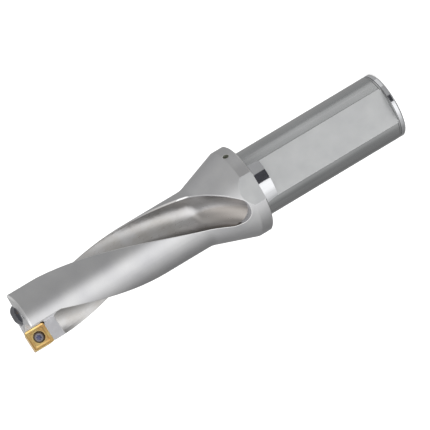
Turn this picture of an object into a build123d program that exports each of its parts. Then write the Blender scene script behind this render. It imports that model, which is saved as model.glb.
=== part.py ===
from build123d import *
from math import acos, atan2, cos, degrees, radians, sin, sqrt, tan
import os

os.makedirs("parts", exist_ok=True)

# Indexable drill with a straight flanged shank, stood on its shank end.
# Z runs from the shank end face towards the tip, and the clamping flat faces -Y.
# All lengths are millimetres and all angles degrees.

# Shank with one clamping flat
shank_diameter = 25.0
shank_length = 60.0
shank_end_chamfer = 0.5
flat_distance = 10.4
flat_start = 2.2
flat_length = 51.9
end_groove_width = 0.8
end_groove_depth = 0.3
seam_angle = -18.0

# Flange: a plain rim, then a cone down to the drill body
rim_diameter = 34.0
rim_length = 4.8
rim_chamfer = 0.4
cone_length = 16.8
cone_foot_radius = 8.0

# Marking flat on the rim, in line with the clamping flat, and an orientation dimple
mark_depth = 0.95
dimple_diameter = 2.3
dimple_depth = 1.5
dimple_angle = 326.0

# Drill body and its nose
body_diameter = 22.5
body_length = 74.4
nose_chamfer = 0.5
outer_land_relief = 9.4
outer_land_turn = 23.5

# Chip flutes, right hand, straight over the last stretch to the nose
flute_lead = 203.0
flute_straight = 12.6
flute_web_radius = 3.2
flute_wall_drop = 3.0
flute_back_depth = 0.9
flute_lip = 0.4
flute_edge_angle = 45.0
outer_flute_angle = 194.0
inner_flute_angle = 7.0
outer_flute_radius = 7.3
inner_flute_radius = 7.0
flute_station_pitch = 7.0

# Run-out of the flutes up the cone, ended by the round nose of the cutter
runout_lead_in = 1.8
runout_ease = 2.4
runout_end_gap = 1.8
runout_end_depth = 2.7
runout_end_radius = 4.3
runout_end_width = 7.4
runout_end_angle = 16.0
runout_flare = 37.0
runout_station_pitch = 1.2

# Indexable inserts, square, screwed flat on their seats
insert_size = 7.94
insert_thickness = 3.97
insert_relief = 7.0
insert_hole_diameter = 2.8
insert_sink_diameter = 4.4
insert_sink_angle = 60.0
outer_corner_radius = 0.8
inner_corner_radius = 3.0
least_corner_radius = 0.3
breaker_land = 0.2
breaker_width = 1.15
breaker_depth = 0.26
breaker_fall = 60.0
breaker_rise = 45.0

# Where the inserts cut: diameter of the hole, reach past the nose and past the axis
drill_diameter = 23.0
outer_insert_reach = 1.0
inner_insert_reach = 1.45
inner_insert_overlap = 0.88
inner_insert_turn = 6.0

# Insert seats
seat_play = 0.04
seat_headroom = 0.5
relief_hole_diameter = 1.7
relief_hole_inset = 0.35
outer_ledge_length = 4.6
gullet_length = 13.0
gullet_width = 6.2
gullet_radius = 2.4
gullet_play = 0.15

# Insert screws with a cone under the head and a six-lobe socket
screw_diameter = 2.5
screw_head_diameter = 3.6
screw_reach = 2.2
screw_hole_spare = 0.3
screw_play = 0.05
socket_diameter = 1.5
socket_lobe_diameter = 0.55
socket_depth = 0.9

# Coolant supply: a bore in the shank, then one hole through each land
coolant_bore_diameter = 14.0
coolant_bore_depth = 54.0
coolant_bore_point = 118.0
coolant_hole_diameter = 2.0
coolant_start_radius = 5.4
coolant_outlet_radius = 8.0
coolant_hole_angle = 82.0
coolant_station_pitch = 23.0

# Heights and radii worked out from the sizes
shank_radius = shank_diameter / 2
rim_radius = rim_diameter / 2
body_radius = body_diameter / 2
rim_front = shank_length + rim_length
cone_foot = rim_front + cone_length
nose_height = cone_foot + body_length
twist_top = nose_height - flute_straight
twist_rate = 360 / flute_lead
runout_start = cone_foot + runout_lead_in
runout_end = rim_front + runout_end_gap
runout_end_floor = rim_radius - (rim_radius - body_radius) * runout_end_gap / cone_length - runout_end_depth
runout_slope = (runout_end_floor - flute_web_radius) / (runout_start - runout_end - runout_ease / 2)
clear_of_rim = 8.0
clear_of_nose = 8.0
past_rim = rim_radius + clear_of_rim
past_nose = nose_height + clear_of_nose


def flute_plane(base_angle, height):
    """Plane across the axis with its x along the flute's own radial line."""
    turned = radians(base_angle + min(0.0, height - twist_top) * twist_rate)
    return Plane(origin=(0, 0, height), x_dir=(cos(turned), sin(turned), 0), z_dir=(0, 0, 1))


def runout_shift(height):
    """How far outwards the cutter has eased at a height."""
    drop = runout_start - height
    eased = min(drop, runout_ease)
    return runout_slope * (drop - eased + eased**2 / (2 * runout_ease))


def flute_section(base_angle, flute_radius, height, outward=0.0):
    """Straight wall under the insert, round back, and a chamfered leading edge."""
    centre = Vector(0, flute_radius - flute_wall_drop)
    centre.X = sqrt((flute_radius + flute_web_radius) ** 2 - centre.Y**2)
    back = body_radius - flute_back_depth
    spread = acos((centre.length**2 + back**2 - flute_radius**2) / (2 * centre.length * back))
    lip = Vector(back, 0).rotate(Axis.Z, degrees(atan2(centre.Y, centre.X) + spread))
    turn = 270 - degrees(atan2(lip.Y - centre.Y, lip.X - centre.X))
    along = (lip - centre).rotate(Axis.Z, -90).normalized()
    edge = lip + along * (outward + flute_lip)
    flared = along.rotate(Axis.Z, flute_edge_angle)
    top = edge + flared * (past_rim / flared.Y)
    shift = Vector(outward, 0)
    far = past_rim + outward
    with BuildSketch(flute_plane(base_angle, height)) as section:
        with BuildLine():
            back_wall = CenterArc(centre + shift, flute_radius, 270, -turn)
            Polyline(
                back_wall @ 1,
                edge + shift,
                top + shift,
                (far, top.Y),
                (far, -flute_wall_drop),
                back_wall @ 0,
            )
        make_face()
    return section.sketch


def rake_plane(base_angle, radius, height):
    """Plane on an insert's rake face, its z the way that the face looks."""
    across = flute_plane(base_angle, height)
    return Plane(
        origin=across.origin + across.x_dir * radius,
        x_dir=across.x_dir * -1,
        z_dir=across.y_dir,
    )


def stations(high, low, pitch):
    """Evenly spaced heights from high down to low, about one pitch apart."""
    count = max(2, round((high - low) / pitch))
    return [high - (high - low) * step / count for step in range(count + 1)]


def insert_outline(plane, corner_radius, grow=0.0):
    """Rounded square on a plane, larger all round by grow."""
    side = insert_size + 2 * grow
    with BuildSketch(plane) as outline:
        RectangleRounded(side, side, max(corner_radius + grow, least_corner_radius))
    return outline.sketch


# Chip flute cutters
def chip_flute(base_angle, flute_radius):
    """Solid that a flute takes out: straight, helical, then up the cone and out."""
    helix = stations(twist_top, runout_start, flute_station_pitch)
    runout = stations(runout_start, runout_end - rim_length, runout_station_pitch)
    with BuildPart() as cutter:
        extrude(flute_section(base_angle, flute_radius, twist_top), amount=past_nose - twist_top)
        loft([flute_section(base_angle, flute_radius, height) for height in helix])
        loft([flute_section(base_angle, flute_radius, height, runout_shift(height)) for height in runout])
        end = flute_plane(base_angle, runout_end)
        facing = end.x_dir.rotate(Axis.Z, runout_end_angle)
        half_width = runout_end_width / 2
        rise = runout_start - runout_end
        flare = half_width + rise * tan(radians(runout_flare))
        wide = flare + past_rim
        with BuildSketch(Plane(origin=end.origin, x_dir=facing.rotate(Axis.Z, 90), z_dir=facing)) as stop:
            with BuildLine():
                Polyline(
                    (-wide, -past_rim),
                    (wide, -past_rim),
                    (wide, rise),
                    (flare, rise),
                    (half_width, 0),
                    (-half_width, 0),
                    (-half_width, rise),
                    (-wide, rise),
                    close=True,
                )
            make_face()
            fillet(stop.vertices().filter_by_position(Axis.Y, 0, 0), runout_end_radius)
        extrude(stop.sketch, amount=2 * past_rim, mode=Mode.SUBTRACT)
    return cutter.part


# Insert seats
def insert_seat(plane, corner_radius):
    """Solid that a seat takes out: the insert's own form and room above it."""
    outline = insert_outline(plane, corner_radius, seat_play)
    with BuildPart() as cutter:
        extrude(outline, amount=-insert_thickness, taper=insert_relief)
        extrude(outline, amount=seat_headroom)
    return cutter.part


# Coolant holes
def coolant_hole(base_angle):
    """Solid of one hole: short straight lengths round with the land, then up to the nose."""
    start = coolant_bore_depth - coolant_hole_diameter
    spread = (coolant_outlet_radius - coolant_start_radius) / (twist_top - start)
    course = []
    for height in stations(twist_top, start, coolant_station_pitch):
        across = flute_plane(base_angle - coolant_hole_angle, height)
        course.append(across.origin + across.x_dir * (coolant_start_radius + (height - start) * spread))
    course.insert(0, course[0] + Vector(0, 0, past_nose - twist_top))
    with BuildPart() as hole:
        with BuildLine() as path:
            Polyline(*course)
        with BuildSketch(Plane(origin=course[0], z_dir=(0, 0, -1))) as mouth:
            Circle(coolant_hole_diameter / 2)
        sweep(mouth.sketch, path=path.line, transition=Transition.RIGHT)
    return hole.part


outer_insert_radius = drill_diameter / 2 - insert_size / 2
outer_insert_height = nose_height + outer_insert_reach - insert_size / 2
inner_insert_radius = insert_size / 2 - inner_insert_overlap
inner_insert_height = nose_height + inner_insert_reach - insert_size / 2
outer_rake = rake_plane(outer_flute_angle, outer_insert_radius, outer_insert_height)
inner_rake = rake_plane(inner_flute_angle, inner_insert_radius, inner_insert_height)
inner_seat = inner_rake.rotated((0, 0, -inner_insert_turn))
ledge_start = outer_insert_height - insert_size / 2 - outer_ledge_length


def outermost(profile, height):
    """Corner of a turned profile furthest from the axis at a height."""
    return profile.vertices().filter_by_position(Axis.Y, height, height).sort_by(Axis.X)[-1]


# Drill body, turned from a profile that starts clear of the flats
seam = Vector(1, 0, 0).rotate(Axis.Z, seam_angle)
with BuildPart() as drill_body:
    with BuildSketch(Plane(origin=(0, 0, 0), x_dir=seam, z_dir=seam.rotate(Axis.Z, -90))) as turned:
        with BuildLine():
            Polyline(
                (0, 0),
                (shank_radius, 0),
                (shank_radius, shank_length),
                (rim_radius, shank_length),
                (rim_radius, rim_front),
                (body_radius, cone_foot),
                (body_radius, nose_height),
                (0, nose_height),
                close=True,
            )
        make_face()
        chamfer(outermost(turned, 0), shank_end_chamfer)
        chamfer(outermost(turned, shank_length), rim_chamfer)
        chamfer(outermost(turned, nose_height), nose_chamfer)
        fillet(outermost(turned, cone_foot), cone_foot_radius)
        with Locations((shank_radius, flat_start)):
            Rectangle(2 * end_groove_depth, end_groove_width, mode=Mode.SUBTRACT)
    revolve(axis=Axis.Z)

    # Clamping flat and marking flat
    with BuildSketch(Plane.XZ.offset(flat_distance)):
        with Locations((0, flat_start + flat_length / 2)):
            Rectangle(shank_diameter, flat_length)
    extrude(amount=shank_radius, mode=Mode.SUBTRACT)
    with BuildSketch(Plane.XZ.offset(rim_radius - mark_depth)):
        with Locations((0, rim_front)):
            Rectangle(rim_diameter, 2 * rim_length)
    extrude(amount=rim_radius, mode=Mode.SUBTRACT)

    # Dimple on the front edge of the rim
    dimple_direction = Vector(1, 0, 0).rotate(Axis.Z, dimple_angle)
    dimple_height = rim_front - dimple_diameter / 2
    dimple_bottom = dimple_direction * (rim_radius - dimple_depth) + Vector(0, 0, dimple_height)
    with BuildSketch(Plane(origin=dimple_bottom, z_dir=dimple_direction)):
        Circle(dimple_diameter / 2)
    extrude(amount=rim_radius, mode=Mode.SUBTRACT)

    # Chip flutes, the outer one with a ledge left level with its insert
    with BuildPart() as outer_flute:
        add(chip_flute(outer_flute_angle, outer_flute_radius))
        with BuildSketch(flute_plane(outer_flute_angle, ledge_start)):
            Rectangle(2 * past_rim, past_rim, align=(Align.CENTER, Align.MAX))
        extrude(amount=past_nose - ledge_start, mode=Mode.SUBTRACT)
    add(outer_flute.part, mode=Mode.SUBTRACT)
    add(chip_flute(inner_flute_angle, inner_flute_radius), mode=Mode.SUBTRACT)

    # Nose of the land behind the outer insert, falling away from the cutting edge
    across = flute_plane(outer_flute_angle - outer_land_turn, nose_height)
    with BuildSketch(Plane(origin=across.origin, x_dir=across.y_dir * -1, z_dir=across.x_dir * -1)):
        with BuildLine():
            Polyline(
                (0, 0),
                (past_rim, -past_rim * tan(radians(outer_land_relief))),
                (past_rim, clear_of_nose),
                (0, clear_of_nose),
                close=True,
            )
        make_face()
    extrude(amount=past_rim, both=True, mode=Mode.SUBTRACT)

    # Insert seats, a relief hole in a corner of the outer one, and the gullet at the inner one
    add(insert_seat(outer_rake, outer_corner_radius), mode=Mode.SUBTRACT)
    add(insert_seat(inner_seat, inner_corner_radius), mode=Mode.SUBTRACT)
    with BuildSketch(outer_rake.offset(-insert_thickness)) as corner:
        inset = insert_size / 2 - relief_hole_inset
        with Locations((inset, -inset)):
            Circle(relief_hole_diameter / 2)
    extrude(amount=insert_thickness + seat_headroom, mode=Mode.SUBTRACT)
    with BuildSketch(inner_rake.offset(-flute_wall_drop)) as gullet:
        inside = insert_size / 2 + gullet_play
        below = nose_height - inner_insert_height - gullet_length
        above = past_nose - inner_insert_height
        with BuildLine():
            Polyline(
                (inside, below),
                (inside, above),
                (-inside, above),
                (-inside, below),
                close=True,
            )
        make_face()
        fillet(gullet.vertices().group_by(Axis.Y)[0].sort_by(Axis.X)[-1], gullet_radius)
    extrude(amount=flute_wall_drop + gullet_width, mode=Mode.SUBTRACT)

    # Screw holes
    for rake in (outer_rake, inner_seat):
        with BuildSketch(rake.offset(-insert_thickness)):
            Circle(screw_diameter / 2 + screw_play)
        extrude(amount=-(screw_reach + screw_hole_spare), mode=Mode.SUBTRACT)

    # Coolant bore with a drilled point, and a hole from it through each land
    with BuildSketch(Plane.XZ):
        bore_radius = coolant_bore_diameter / 2
        point = bore_radius / tan(radians(coolant_bore_point / 2))
        with BuildLine():
            Polyline(
                (0, 0),
                (bore_radius, 0),
                (bore_radius, coolant_bore_depth),
                (0, coolant_bore_depth + point),
                close=True,
            )
        make_face()
    revolve(axis=Axis.Z, mode=Mode.SUBTRACT)
    for base_angle in (outer_flute_angle, inner_flute_angle):
        add(coolant_hole(base_angle), mode=Mode.SUBTRACT)
drill_body.part.label = "drill_body"
export_step(drill_body.part, "parts/drill_body.step")


# Inserts
def cutting_insert(plane, corner_radius):
    """Square insert with relieved sides, a sunk hole and a chipbreaker round its top."""
    with BuildPart() as breaker:
        outer = insert_outline(plane, corner_radius, -breaker_land)
        extrude(outer, amount=-breaker_depth, taper=breaker_fall)
        extrude(
            insert_outline(plane, corner_radius, -breaker_land - breaker_width),
            amount=-breaker_depth,
            taper=-breaker_rise,
            mode=Mode.SUBTRACT,
        )
    with BuildPart() as blank:
        extrude(insert_outline(plane, corner_radius), amount=-insert_thickness, taper=insert_relief)
        add(breaker.part, mode=Mode.SUBTRACT)
        with Locations(plane):
            CounterSinkHole(
                insert_hole_diameter / 2,
                insert_sink_diameter / 2,
                counter_sink_angle=insert_sink_angle,
            )
    return blank.part


with BuildPart() as outer_insert:
    add(cutting_insert(outer_rake, outer_corner_radius))
outer_insert.part.label = "outer_insert"
export_step(outer_insert.part, "parts/outer_insert.step")

with BuildPart() as inner_insert:
    add(cutting_insert(inner_seat, inner_corner_radius))
inner_insert.part.label = "inner_insert"
export_step(inner_insert.part, "parts/inner_insert.step")


# Insert screws
def insert_screw(plane):
    """Screw whose cone sits in the insert's countersink, standing in its seat hole."""
    slope = tan(radians(insert_sink_angle / 2))
    head_radius = screw_head_diameter / 2
    radius = screw_diameter / 2
    top = (insert_sink_diameter / 2 - head_radius) / slope
    neck = top + (head_radius - radius) / slope
    length = insert_thickness + screw_reach
    with BuildPart() as screw:
        with BuildSketch(Plane(origin=plane.origin, x_dir=plane.x_dir, z_dir=plane.y_dir * -1)):
            with BuildLine():
                Polyline(
                    (0, -top),
                    (head_radius, -top),
                    (radius, -neck),
                    (radius, -length),
                    (0, -length),
                    close=True,
                )
            make_face()
        revolve(axis=Axis(plane.origin, plane.z_dir))
        with BuildSketch(plane.offset(-top)):
            Circle(socket_diameter / 2)
            with PolarLocations(socket_diameter / 2, 6):
                Circle(socket_lobe_diameter / 2)
        extrude(amount=-socket_depth, mode=Mode.SUBTRACT)
    return screw.part


with BuildPart() as outer_insert_screw:
    add(insert_screw(outer_rake))
outer_insert_screw.part.label = "outer_insert_screw"
export_step(outer_insert_screw.part, "parts/outer_insert_screw.step")

with BuildPart() as inner_insert_screw:
    add(insert_screw(inner_seat))
inner_insert_screw.part.label = "inner_insert_screw"
export_step(inner_insert_screw.part, "parts/inner_insert_screw.step")
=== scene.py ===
import math

import bpy
from mathutils import Matrix, Vector

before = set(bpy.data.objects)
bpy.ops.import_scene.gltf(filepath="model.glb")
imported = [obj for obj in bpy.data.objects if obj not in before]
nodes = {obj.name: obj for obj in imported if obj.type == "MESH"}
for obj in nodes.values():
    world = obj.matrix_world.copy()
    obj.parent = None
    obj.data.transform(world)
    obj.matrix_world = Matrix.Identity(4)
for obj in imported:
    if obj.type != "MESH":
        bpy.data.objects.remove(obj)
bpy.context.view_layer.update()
mm = 0.001
shankRadius = 12.5     # mm, the neck's too


# sRGB hex to the linear colour that the shaders want, by the standard's own curve
def linear(hexColour):
    parts = [int(hexColour[i:i + 2], 16) / 255 for i in (1, 3, 5)]
    return [p / 12.92 if p <= 0.04045 else ((p + 0.055) / 1.055) ** 2.4 for p in parts] + [1.0]


# Adds one node: settings go to its properties or inputs, links join inputs to other outputs
def addNode(tree, kind, settings=None, links=None):
    node = tree.nodes.new(kind)
    for key, value in (settings or {}).items():
        if isinstance(key, int) or key in node.inputs:
            node.inputs[key].default_value = value
        else:
            setattr(node, key, value)
    for key, output in (links or {}).items():
        tree.links.new(output, node.inputs[key])
    return node


# Settings for a range that starts at the first value of a pair and is full at the second
def between(pair, unit=1.0):
    return {"From Min": pair[0] * unit, "From Max": pair[1] * unit}


# Fills a colour ramp with (position, grey value) stops
def setRamp(node, stops):
    ramp = node.color_ramp
    ramp.interpolation = "EASE"
    while len(ramp.elements) > 1:
        ramp.elements.remove(ramp.elements[-1])
    for i, (position, value) in enumerate(stops):
        element = ramp.elements[0] if i == 0 else ramp.elements.new(position)
        element.position = position
        element.color = (value, value, value, 1)
    return node


def mainShader(tree):
    return tree.nodes["Principled BSDF"]


def startMaterial(name):
    material = bpy.data.materials.new(name)
    material.use_nodes = True
    return material, material.node_tree, mainShader(material.node_tree)


# The photo's view: a long lens a little above the drill's middle, rolled so that the tip
# points down and to the left
shot = {
    "azimuth": 4.4,          # degrees round the drill from the clamping flat
    "elevation": 15.0,       # degrees above square to the axis
    "roll": 120.93,          # degrees that the picture is turned
    "pixelsPerMm": 2.828,    # across the drill
    "frame": 430,            # width of the picture in pixels
    "aimHeight": 75.1,       # mm up the axis at the middle of the picture
    "aimAside": 2.44,        # mm from the axis, to the left of it
    "distance": 3000.0,      # mm
    "sensor": 36.0,          # mm
    "clip": (0.1, 20.0),     # m
}


# Unit vectors of the level view before the roll: towards the camera, to its right, up
def viewAxes():
    az, el = (math.radians(shot[k]) for k in ("azimuth", "elevation"))
    back = Vector((math.sin(az) * math.cos(el), -math.cos(az) * math.cos(el), math.sin(el)))
    right = Vector((math.cos(az), math.sin(az), 0))
    return back, right, back.cross(right)


def makeCamera():
    back, right, up = viewAxes()
    roll = math.radians(shot["roll"])
    turnedRight = right * math.cos(roll) - up * math.sin(roll)
    turnedUp = right * math.sin(roll) + up * math.cos(roll)
    aim = Vector((0, 0, shot["aimHeight"])) - right * shot["aimAside"]
    data = bpy.data.cameras.new("photoCamera")
    camera = bpy.data.objects.new("photoCamera", data)
    bpy.context.scene.collection.objects.link(camera)
    rotation = Matrix((turnedRight, turnedUp, back)).transposed().to_4x4()
    camera.matrix_world = Matrix.Translation((aim + back * shot["distance"]) * mm) @ rotation
    data.sensor_width = shot["sensor"]
    data.lens = shot["sensor"] * shot["distance"] / (shot["frame"] / shot["pixelsPerMm"])
    data.clip_start, data.clip_end = shot["clip"]
    bpy.context.scene.camera = camera


makeCamera()
print("camera placed")

# Studio light: a ring of soft boxes round the drill, as a world that the steel reflects, and one
# wide lamp overhead for the floor. Each stop of a ring is a place and a brightness. Places are
# turns round the drill, 0.5 is the camera's own side, and they grow to the left as seen from it.
studio = {
    "lowRing": [
        (0.00, 0.75), (0.06, 0.48), (0.20, 0.60), (0.36, 0.55), (0.44, 0.55), (0.56, 1.75),
        (0.60, 1.70), (0.66, 1.20), (0.72, 0.78), (0.80, 0.43), (0.88, 0.30), (0.95, 0.34), (1.0, 0.75)],
    "middleRing": [
        (0.00, 0.70), (0.20, 0.72), (0.26, 0.77), (0.37, 0.74), (0.42, 0.79), (0.46, 0.98),
        (0.49, 1.24), (0.56, 1.60), (0.63, 1.30), (0.72, 0.88), (0.84, 0.55), (1.0, 0.70)],
    "topRing": [
        (0.00, 0.50), (0.40, 0.40), (0.50, 0.60), (0.56, 1.15), (0.62, 1.55), (0.67, 1.45),
        (0.74, 1.05), (0.80, 0.95), (0.90, 1.10), (1.0, 0.60)],
    "lowToMiddle": (-0.10, 0.22),     # sines of the elevations between which one ring
    "middleToTop": (0.45, 0.75),      # gives way to the next
    "strength": 1.0,
    "lampPower": 2.2,                 # W
    "lampSize": 1.6,                  # m
    "lampPlace": (0.0, 0.1, 1.2),     # m
}


def makeWorld():
    world = bpy.data.worlds.new("softStudio")
    bpy.context.scene.world = world
    world.use_nodes = True
    tree = world.node_tree
    tree.nodes.clear()
    where = addNode(tree, "ShaderNodeTexCoord")
    axes = addNode(tree, "ShaderNodeSeparateXYZ", links={0: where.outputs["Generated"]})
    turn = addNode(tree, "ShaderNodeMath", {"operation": "ARCTAN2"},
                   {0: axes.outputs["Y"], 1: axes.outputs["X"]})
    cameraTurn = (shot["azimuth"] - 90) / 360 + 0.5
    place = addNode(tree, "ShaderNodeMath",
                    {"operation": "MULTIPLY_ADD", 1: -1 / (2 * math.pi), 2: cameraTurn},
                    {0: turn.outputs[0]})
    wrapped = addNode(tree, "ShaderNodeMath", {"operation": "FRACT"}, {0: place.outputs[0]})
    rings = [setRamp(addNode(tree, "ShaderNodeValToRGB", links={0: wrapped.outputs[0]}), studio[name])
             for name in ("lowRing", "middleRing", "topRing")]
    light = rings[0].outputs[0]
    for ring, step in ((rings[1], "lowToMiddle"), (rings[2], "middleToTop")):
        share = addNode(tree, "ShaderNodeMapRange",
                        {"interpolation_type": "SMOOTHSTEP", **between(studio[step])},
                        {"Value": axes.outputs["Z"]})
        blend = addNode(tree, "ShaderNodeMix", {"data_type": "RGBA"},
                        {0: share.outputs[0], 6: light, 7: ring.outputs[0]})
        light = blend.outputs[2]
    glow = addNode(tree, "ShaderNodeBackground", {"Strength": studio["strength"]}, {"Color": light})
    addNode(tree, "ShaderNodeOutputWorld", links={"Surface": glow.outputs[0]})
    bpy.context.scene.view_settings.view_transform = "Standard"


# The lamp lights the floor and the drill's top but doesn't show in the steel
def hangLamp():
    lamp = bpy.data.lights.new("overhead", "AREA")
    lamp.shape = "DISK"
    lamp.size = studio["lampSize"]
    lamp.energy = studio["lampPower"]
    overhead = bpy.data.objects.new("overhead", lamp)
    overhead.location = studio["lampPlace"]
    overhead.visible_glossy = False
    bpy.context.scene.collection.objects.link(overhead)


makeWorld()
hangLamp()
print("light set")


# Makes a mesh object from a flat outline and links it into the scene
def stageSheet(name, corners, material):
    mesh = bpy.data.meshes.new(name)
    mesh.from_pydata(corners, [], [tuple(range(len(corners)))])
    sheet = bpy.data.objects.new(name, mesh)
    sheet.data.materials.append(material)
    bpy.context.scene.collection.objects.link(sheet)
    return sheet


# What the floor's paper and the cards share: no gloss, and flecks with some finer ones in them
mattPaper = {"rough": 0.9, "shine": 0.0, "fleckDetail": 4.0}


# Matt paper or card whose tone drifts between two colours
def paper(name, look):
    material, tree, shader = startMaterial(name)
    place = addNode(tree, "ShaderNodeTexCoord")
    noise = addNode(tree, "ShaderNodeTexNoise",
                    {"Scale": 1 / (look["fleckSize"] * mm), "Detail": mattPaper["fleckDetail"]},
                    {"Vector": place.outputs["Object"]})
    tint = addNode(tree, "ShaderNodeMix",
                   {"data_type": "RGBA", 6: linear(look["colour"]), 7: linear(look["fleck"])},
                   {0: noise.outputs["Fac"]})
    for key in ("Base Color", "Emission Color"):
        tree.links.new(tint.outputs[2], shader.inputs[key])
    for key, value in (("Emission Strength", look["glow"]), ("Roughness", mattPaper["rough"]),
                       ("Specular IOR Level", mattPaper["shine"])):
        shader.inputs[key].default_value = value
    return material


# Pale studio paper, which glows a little, so it shows as near white with only a breath of shadow.
# size is in m, fleckSize in mm.
floorPaper = {"size": 8.0, "colour": "#F8F8F8", "fleck": "#F5F5F5", "fleckSize": 60.0, "glow": 0.6}

# Cards that show only as reflections, in the shank and neck. turns are degrees round the drill
# from the camera, away is mm from the axis, and from and to are the heights in mm between which
# the shank shows the card.
cards = {
    "blackCard": {       # a dark square on the polished neck
        "turns": (-8.7, 21.0), "away": 60.0, "from": 51.0, "to": 61.3,
        "colour": "#5C5C62", "fleck": "#505055", "fleckSize": 5.0, "glow": 0.0},
    "endCard": {         # and another on the ring at the shank's end
        "turns": (-2.0, 20.0), "away": 60.0, "from": -2.5, "to": 3.4,
        "colour": "#5C5C62", "fleck": "#505055", "fleckSize": 5.0, "glow": 0.0},
    "greyCard": {        # a lighter band along the shank
        "turns": (58.0, 96.0), "away": 150.0, "from": -6.0, "to": 53.0,
        "colour": "#B8B8B8", "fleck": "#ACACAC", "fleckSize": 9.0, "glow": 1.3},
}


# A card stands where the neck mirrors it: lower by what the camera's rise gives over the distance
def makeCard(name, card):
    drop = (card["away"] - shankRadius) * math.tan(math.radians(shot["elevation"]))
    first, last = card["turns"]
    corners = []
    for turn, height in ((first, "from"), (last, "from"), (last, "to"), (first, "to")):
        angle = math.radians(shot["azimuth"] + turn)
        corners.append((math.sin(angle) * card["away"] * mm, -math.cos(angle) * card["away"] * mm,
                        (card[height] - drop) * mm))
    sheet = stageSheet(name, corners, paper(name, card))
    sheet.visible_camera = False
    sheet.visible_diffuse = False
    sheet.visible_shadow = False


def makeStage():
    half = floorPaper["size"] / 2
    corners = [(-half, -half, 0), (half, -half, 0), (half, half, 0), (-half, half, 0)]
    floor = stageSheet("studioFloor", corners, paper("studioPaper", floorPaper))
    floor.visible_glossy = False
    for name, card in cards.items():
        makeCard(name, card)


makeStage()
print("floor laid")

# How every metal here uses its two noises, a fine grain and a slow drift, which run from 0 to 1
metalNoise = {
    "grainDetail": 3.0, "grainRough": 0.6, "driftDetail": 2.0,
    "grainShare": 0.5,        # how much of the grain is added to the drift
    "tone": (0.45, 1.05),     # that sum, from the shade to the colour
    "gloss": (0.3, 0.7),      # the grain, from the smoothest spots to the roughest
    "edgeWearAndLightShare": (0.99, 0.93),     # cosine of how far a corner's round turns the surface, from plain to full edge wear with painted light
    "roundSamples": 8,
}


# A metal whose tone, roughness and relief follow one stretched noise, its corners rounded off and given
# an edge colour, edge wear with painted light
def metal(name, finish):
    material, tree, shader = startMaterial(name)
    place = addNode(tree, "ShaderNodeTexCoord")
    stretch = addNode(tree, "ShaderNodeMapping",
                      {"Scale": [1 / (size * mm) for size in finish["grain"]]},
                      {"Vector": place.outputs["Object"]})
    grain = addNode(tree, "ShaderNodeTexNoise",
                    {"Scale": 1.0, "Detail": metalNoise["grainDetail"],
                     "Roughness": metalNoise["grainRough"]}, {"Vector": stretch.outputs[0]})
    drift = addNode(tree, "ShaderNodeTexNoise",
                    {"Scale": 1 / (finish["patch"] * mm), "Detail": metalNoise["driftDetail"]},
                    {"Vector": place.outputs["Object"]})
    both = addNode(tree, "ShaderNodeMath", {"operation": "MULTIPLY_ADD", 1: metalNoise["grainShare"]},
                   {0: grain.outputs["Fac"], 2: drift.outputs["Fac"]})
    spread = addNode(tree, "ShaderNodeMapRange", between(metalNoise["tone"]), {"Value": both.outputs[0]})
    tone = addNode(tree, "ShaderNodeMix",
                   {"data_type": "RGBA", 6: linear(finish["shade"]), 7: linear(finish["colour"])},
                   {0: spread.outputs[0]})
    gloss = addNode(tree, "ShaderNodeMapRange",
                    {**between(metalNoise["gloss"]), "To Min": finish["rough"] - finish["swing"],
                     "To Max": finish["rough"] + finish["swing"]}, {"Value": grain.outputs["Fac"]})
    surface = addNode(tree, "ShaderNodeNewGeometry")
    corners = addNode(tree, "ShaderNodeBevel",
                      {"samples": metalNoise["roundSamples"], "Radius": finish["edge"] * mm})
    match = addNode(tree, "ShaderNodeVectorMath", {"operation": "DOT_PRODUCT"},
                    {0: surface.outputs["Normal"], 1: corners.outputs[0]})
    # The rounded corners take the edge colour: edge wear with painted light, a painted highlight where
    # that colour is lighter, painted shade where it is darker
    edgeWearAndLightShare = addNode(tree, "ShaderNodeMapRange", between(metalNoise["edgeWearAndLightShare"]),
                   {"Value": match.outputs["Value"]})
    skin = addNode(tree, "ShaderNodeMix", {"data_type": "RGBA", 7: linear(finish["edgeWearAndPaintedLight"])},
                   {0: edgeWearAndLightShare.outputs[0], 6: tone.outputs[2]})
    relief = addNode(tree, "ShaderNodeBump", {"Strength": 1.0, "Distance": finish["depth"] * mm},
                     {"Height": grain.outputs["Fac"]})
    if finish["edge"]:
        tree.links.new(corners.outputs[0], relief.inputs["Normal"])
    for key, output in (("Base Color", skin.outputs[2]), ("Roughness", gloss.outputs[0]),
                        ("Normal", relief.outputs[0])):
        tree.links.new(output, shader.inputs[key])
    shader.inputs["Metallic"].default_value = 1.0
    return material


# Mixes a second colour into a material by a share
def mixInto(tree, share, hexColour):
    base = mainShader(tree).inputs["Base Color"]
    tone = addNode(tree, "ShaderNodeMix", {"data_type": "RGBA", 7: linear(hexColour)},
                   {0: share, 6: base.links[0].from_socket})
    tree.links.new(tone.outputs[2], base)


# Finishes of the drill body, and below of the inserts and screws. Lengths are mm: grain is the size
# of the streaks or specks along x, y and z, depth their relief, patch the size of slow changes of
# tone and edge the round on the corners. The edge colour is that round's: edge wear with painted
# light, lighter as a painted highlight, darker on the shank as painted shade. Real blast grain and
# the lines of cutters and grinding wheels are 0.05 to 0.2 mm, and all are drawn coarser so that they
# show.
# Satin nickel plate over blasted steel: an even grey with soft highlights
satinNickel = {
    "colour": "#BEBEBE", "shade": "#B1B1B3", "rough": 0.33, "swing": 0.03,
    "grain": (0.45, 0.45, 0.45), "depth": 0.008, "patch": 9.0, "edge": 0.45, "edgeWearAndPaintedLight": "#E9E9E8",
}
# Flutes: the same plate over milled steel, a little warmer and glossier
milledFlute = {
    "colour": "#BABABB", "shade": "#A9A6A2", "rough": 0.30, "swing": 0.03,
    "grain": (0.6, 0.6, 1.6), "depth": 0.0015, "patch": 7.0, "edge": 0.0, "edgeWearAndPaintedLight": "#BABABB",
}
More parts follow.
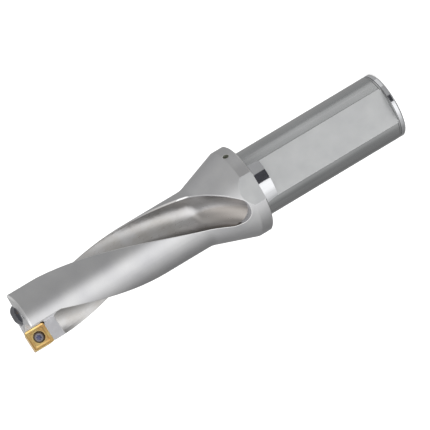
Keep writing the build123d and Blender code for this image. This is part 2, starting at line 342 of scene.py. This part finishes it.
# Clamping flat and the flat on the rim: face milled, matt, so they stay an even mid grey
milledFlat = {
    "colour": "#BDBEBE", "shade": "#B2B3B4", "rough": 0.56, "swing": 0.04,
    "grain": (0.9, 0.9, 0.9), "depth": 0.010, "patch": 6.0, "edge": 0.3, "edgeWearAndPaintedLight": "#C4C5C5",
}
# Shank: ground steel, darker and smoother, with streaks along the axis and painted shade on its corners
groundShank = {
    "colour": "#BFC0C0", "shade": "#858788", "rough": 0.24, "swing": 0.04,
    "grain": (2.6, 2.6, 200.0), "depth": 0.006, "patch": 60.0, "edge": 0.4, "edgeWearAndPaintedLight": "#68696A",
}
# Neck and end ring: polished steel, which mirrors the studio
polishedNeck = {
    "colour": "#C8C9CB", "shade": "#BEBFC1", "rough": 0.08, "swing": 0.02,
    "grain": (0.5, 0.5, 30.0), "depth": 0.002, "patch": 9.0, "edge": 0.1, "edgeWearAndPaintedLight": "#C8C9CB",
}
# Seats, ledge and the round ends of the flutes: pale rough steel, painted light that keeps them pale
# whichever way they face
paleSeatPaintedLight = {
    "colour": "#E2E2E4", "shade": "#CDCDD0", "rough": 0.80, "swing": 0.04,
    "grain": (0.9, 0.9, 0.9), "depth": 0.010, "patch": 4.0, "edge": 0.2, "edgeWearAndPaintedLight": "#F0F0EF",
}
# Lips along the flutes and round the nose: bare ground steel, painted near white as a highlight line
groundLipWithPaintedHighlight = {
    "colour": "#F0F0EF", "shade": "#E2E2E3", "rough": 0.30, "swing": 0.03,
    "grain": (0.5, 0.5, 0.5), "depth": 0.003, "patch": 4.0, "edge": 0.2, "edgeWearAndPaintedLight": "#F0F0EF",
}
# Dimple: drilled through the plate, a dull grey-green that the hole's depth darkens
greyGreenDimple = {
    "colour": "#C2C4BA", "shade": "#A9ABA1", "rough": 0.75, "swing": 0.04,
    "grain": (0.5, 0.5, 0.5), "depth": 0.004, "patch": 2.0, "edge": 0.0, "edgeWearAndPaintedLight": "#C2C4BA",
}

# The same finishes by material, in the order of the body's slots
bodyMaterials = {
    "satinNickelPlate": satinNickel, "milledFluteSteel": milledFlute, "milledFlatSteel": milledFlat,
    "groundShankSteel": groundShank, "polishedNeckSteel": polishedNeck,
    "seatPaintedLightSteel": paleSeatPaintedLight, "groundLipPaintedHighlightSteel": groundLipWithPaintedHighlight, "greyGreenDimpleSteel": greyGreenDimple,
}

# Where each finish ends, mm. The skin is the turned surface of the cone and the body.
bodyZones = {
    # up the axis
    "endRing": 2.2, "neck": 54.1, "rimBack": 59.9, "rimFront": 64.8, "fluteEnds": 75.0,
    "coneFoot": 81.6, "lowLip": 86.0, "seatsFrom": 144.4, "nose": 155.9,
    # from the axis
    "boreWall": 8.0, "bodyRadius": 11.25, "rimRadius": 17.0,
    # the flats along y, and the dimple's middle with how far it reaches
    "clampFlat": -10.4, "rimFlat": -16.05, "dimple": (13.1, -8.8, 63.65), "dimpleReach": 2.2,
    # how far off a flat or the skin still counts, and how deep the lips go
    "facet": 0.05, "slack": 0.2, "lip": 0.9,
}

# How far a face has to turn for its finish, as shares of its normal: along y, outward from the
# axis, or up the axis
faceTurns = {
    "flatY": -0.99, "lipOutward": 0.5, "lowLipOutward": 0.3, "lowLipRise": 0.15,
    "endRise": 0.75, "endLeastRise": 0.05, "endOutward": -0.05,
}

# Painted light and shade in the flutes where they run out on the cone: painted shade lower down,
# painted light on the leading wall, and a pale strip painted along the wall's rim. Pairs run from
# none to full: heights and depths in mm, turns as the share of the normal that points round the drill.
paintedFluteShading = {
    "paintedShade": "#9E9995", "paintedShadeHeights": (90.0, 75.0),
    "wall": "#D2D2D4", "wallHeights": (88.0, 78.0), "wallTurns": (0.15, 0.6),
    "stripHeights": (86.0, 84.5), "stripDepths": (0.9, 0.7),     # pale strip painted along the wall's rim, painted light
}


# How much of the leading wall a spot has. Its normal crossed with the way out from the axis points
# up the axis on that wall and down it on the other.
def leadingWall(tree, normal, level):
    outward = addNode(tree, "ShaderNodeVectorMath", {"operation": "NORMALIZE"}, {0: level})
    aside = addNode(tree, "ShaderNodeVectorMath", {"operation": "CROSS_PRODUCT"},
                    {0: normal, 1: outward.outputs[0]})
    facing = addNode(tree, "ShaderNodeSeparateXYZ", links={0: aside.outputs[0]})
    wall = addNode(tree, "ShaderNodeMapRange",
                   {"interpolation_type": "SMOOTHSTEP", **between(paintedFluteShading["wallTurns"])},
                   {"Value": facing.outputs["Z"]})
    return wall.outputs[0]


# Depth of a spot under the cone and the body, as if they had no flutes
def depthUnderSkin(tree, height, level):
    heights = between((bodyZones["rimFront"], bodyZones["coneFoot"]), mm)
    radii = {"To Min": bodyZones["rimRadius"] * mm, "To Max": bodyZones["bodyRadius"] * mm}
    skin = addNode(tree, "ShaderNodeMapRange", {**heights, **radii}, {"Value": height})
    radius = addNode(tree, "ShaderNodeVectorMath", {"operation": "LENGTH"}, {0: level})
    depth = addNode(tree, "ShaderNodeMath", {"operation": "SUBTRACT"},
                    {0: skin.outputs[0], 1: radius.outputs["Value"]})
    return depth.outputs[0]


# Adds the painted shade and painted light to the flutes' material, the pale painted strip last
def paintFluteShading(material):
    tree = material.node_tree
    place = addNode(tree, "ShaderNodeTexCoord")
    axes = addNode(tree, "ShaderNodeSeparateXYZ", links={0: place.outputs["Object"]})
    level = addNode(tree, "ShaderNodeVectorMath", {"operation": "MULTIPLY", 1: (1, 1, 0)},
                    {0: place.outputs["Object"]})
    height = axes.outputs["Z"]
    depth = depthUnderSkin(tree, height, level.outputs[0])
    wall = leadingWall(tree, place.outputs["Normal"], level.outputs[0])
    paintedShadeShare, nearRim, inStrip, lowDown = (
        addNode(tree, "ShaderNodeMapRange", between(paintedFluteShading[pair], mm), {"Value": value}).outputs[0]
        for pair, value in (("paintedShadeHeights", height), ("wallHeights", height),
                            ("stripDepths", depth), ("stripHeights", height)))
    # Painted light on the leading wall near the rim
    litWallShare = addNode(tree, "ShaderNodeMath", {"operation": "MULTIPLY"}, {0: wall, 1: nearRim})
    lowStrip = addNode(tree, "ShaderNodeMath", {"operation": "MULTIPLY"}, {0: inStrip, 1: lowDown})
    # Pale strip along the wall's rim low down: painted light, dulled like the seats
    paintedStripShare = addNode(tree, "ShaderNodeMath", {"operation": "MULTIPLY"},
                      {0: lowStrip.outputs[0], 1: wall})
    # Painted shade lower down, then painted light on the leading wall and the pale painted strip
    mixInto(tree, paintedShadeShare, paintedFluteShading["paintedShade"])
    mixInto(tree, litWallShare.outputs[0], paintedFluteShading["wall"])
    mixInto(tree, paintedStripShare.outputs[0], paleSeatPaintedLight["colour"])
    gloss = mainShader(tree).inputs["Roughness"]
    dulled = addNode(tree, "ShaderNodeMix", {3: paleSeatPaintedLight["rough"]},
                     {0: paintedStripShare.outputs[0], 2: gloss.links[0].from_socket})
    tree.links.new(dulled.outputs[0], gloss)


# Material of a face of the body, from where its middle lies and which way it looks
def bodyFinish(centre, normal):
    zone, turn = bodyZones, faceTurns
    radius = math.hypot(centre.x, centre.y)
    outward = (centre.x * normal.x + centre.y * normal.y) / max(radius, zone["slack"])
    offFlat = min(abs(centre.y - zone[flat]) for flat in ("clampFlat", "rimFlat"))
    if offFlat < zone["facet"] and normal.y < turn["flatY"]:
        return "milledFlatSteel"
    if centre.z < zone["rimBack"] and radius > zone["boreWall"]:
        atNeckOrEnd = centre.z > zone["neck"] or centre.z < zone["endRing"]
        polished = atNeckOrEnd and radius > shankRadius - zone["slack"]
        return "polishedNeckSteel" if polished else "groundShankSteel"
    coneShare = (zone["coneFoot"] - centre.z) / (zone["coneFoot"] - zone["rimFront"])
    skin = zone["bodyRadius"] + (zone["rimRadius"] - zone["bodyRadius"]) * min(1, max(0, coneShare))
    if (centre - Vector(zone["dimple"])).length < zone["dimpleReach"] and radius < skin - zone["facet"]:
        return "greyGreenDimpleSteel"
    if radius > skin - zone["facet"] or not zone["rimFront"] < centre.z < zone["nose"]:
        return "satinNickelPlate"
    # Lip faces near the skin that look outwards get the lip finish, a painted highlight
    low = zone["fluteEnds"] < centre.z < zone["lowLip"] and normal.z > turn["lowLipRise"]
    if radius > skin - zone["lip"] and outward > turn["lowLipOutward" if low else "lipOutward"]:
        return "groundLipPaintedHighlightSteel"
    # End walls of the run-out that face up or inwards, and the seats near the nose, get the pale seat
    # finish, painted light
    facesUp = normal.z > turn["endRise"]
    facesIn = normal.z > turn["endLeastRise"] and outward < turn["endOutward"]
    endWall = centre.z < zone["fluteEnds"] and (facesUp or facesIn)
    return "seatPaintedLightSteel" if endWall or centre.z > zone["seatsFrom"] else "milledFluteSteel"


def dressBody():
    mesh = nodes["drill_body"].data
    mesh.materials.clear()
    for name, finish in bodyMaterials.items():
        mesh.materials.append(metal(name, finish))
    slots = list(bodyMaterials)
    paintFluteShading(mesh.materials[slots.index("milledFluteSteel")])
    for face in mesh.polygons:
        face.material_index = slots.index(bodyFinish(face.center / mm, face.normal))


dressBody()
print("body dressed")

# Outer insert: titanium nitride coat on carbide, pale yellow gold, orange where it is thin
goldCoat = {
    "colour": "#E9D490", "shade": "#DFA868", "rough": 0.32, "swing": 0.05,
    "grain": (0.8, 0.8, 0.8), "depth": 0.004, "patch": 2.2, "edge": 0.12, "edgeWearAndPaintedLight": "#E6D69C",
}
# Inner insert: titanium aluminium nitride coat on carbide, an even dark grey
darkCoat = {
    "colour": "#5B5C62", "shade": "#46474C", "rough": 0.34, "swing": 0.05,
    "grain": (0.8, 0.8, 0.8), "depth": 0.004, "patch": 2.5, "edge": 0.12, "edgeWearAndPaintedLight": "#6E6F74",
}
# Screw heads: hardened steel, lightly blued, darker round the rim as painted shade from the gap round
# the head
screwSteel = {
    "colour": "#A9A6AE", "shade": "#959098", "rough": 0.28, "swing": 0.04,
    "grain": (0.5, 0.5, 0.5), "depth": 0.003, "patch": 1.5, "edge": 0.08, "edgeWearAndPaintedLight": "#B4B2B8",
    # tint is the painted shade round the head's rim
    "tint": "#6E6252", "rimShadeRadii": (1.35, 1.65),     # mm from the screw's axis, none to full
}
# Countersinks of the inserts: carbide painted dark brown as the shade in the gap round the screw, dull
sinkPaintedShade = {
    "colour": "#8C765E", "shade": "#6B5A48", "rough": 0.42, "swing": 0.04,
    "grain": (0.5, 0.5, 0.5), "depth": 0.003, "patch": 1.0, "edge": 0.0, "edgeWearAndPaintedLight": "#8C765E",
}
# Sockets of the screws: steel painted dark with a blue cast, as the shade in the recess
socketPaintedShade = {
    "colour": "#8688A8", "shade": "#6C6E8E", "rough": 0.42, "swing": 0.04,
    "grain": (0.5, 0.5, 0.5), "depth": 0.003, "patch": 1.0, "edge": 0.0, "edgeWearAndPaintedLight": "#8688A8",
}

# Where the screws stand at the rake faces: turn round the drill in degrees, then mm
seats = {
    "outer": {"turn": 194.0, "radius": 7.53, "height": 153.03},
    "inner": {"turn": 7.0, "radius": 3.09, "height": 153.48},
}
# What lies within the radius of a screw's axis and below the depth is in the hole, mm
countersink = {"radius": 2.21, "depth": 0.05}
lobedSocket = {"radius": 0.95, "depth": 0.72}


# Middle of a screw at its insert's rake face, and the way that the screw looks
def screwAxis(seat):
    turn = math.radians(seat["turn"])
    out = Vector((math.cos(turn), math.sin(turn), 0))
    return out * seat["radius"] + Vector((0, 0, seat["height"])), Vector((-out.y, out.x, 0))


# Darkens a screw's material towards the rim of its head, painted shade
def shadeScrewRim(material, seat):
    centre, axis = screwAxis(seat)
    tree = material.node_tree
    place = addNode(tree, "ShaderNodeTexCoord")
    offset = addNode(tree, "ShaderNodeVectorMath", {"operation": "SUBTRACT", 1: centre * mm},
                     {0: place.outputs["Object"]})
    across = addNode(tree, "ShaderNodeVectorMath", {"operation": "CROSS_PRODUCT", 1: axis},
                     {0: offset.outputs[0]})
    away = addNode(tree, "ShaderNodeVectorMath", {"operation": "LENGTH"}, {0: across.outputs[0]})
    share = addNode(tree, "ShaderNodeMapRange", between(screwSteel["rimShadeRadii"], mm),
                    {"Value": away.outputs["Value"]})
    mixInto(tree, share.outputs[0], screwSteel["tint"])
    return material


# Gives a piece its own material, and the second one on its faces in the hole round the screw's axis
def dressPiece(name, materials, seat, hole):
    mesh = nodes[name].data
    mesh.materials.clear()
    for material in materials:
        mesh.materials.append(material)
    centre, axis = screwAxis(seat)
    for face in mesh.polygons:
        offset = face.center / mm - centre
        depth = -offset.dot(axis)
        away = (offset + axis * depth).length
        face.material_index = int(away < hole["radius"] and depth > hole["depth"])


def dressInserts():
    # The countersinks carry painted shade
    sink = metal("sinkPaintedShadeCarbide", sinkPaintedShade)
    # The screw sockets carry painted shade
    socket = metal("socketPaintedShadeSteel", socketPaintedShade)
    coats = {"outer": metal("titaniumNitrideCoat", goldCoat),
             "inner": metal("aluminiumNitrideCoat", darkCoat)}
    for side, coat in coats.items():
        steel = shadeScrewRim(metal(side + "ScrewSteel", screwSteel), seats[side])
        dressPiece(side + "_insert", (coat, sink), seats[side], countersink)
        dressPiece(side + "_insert_screw", (steel, socket), seats[side], lobedSocket)


dressInserts()
print("inserts and screws dressed")
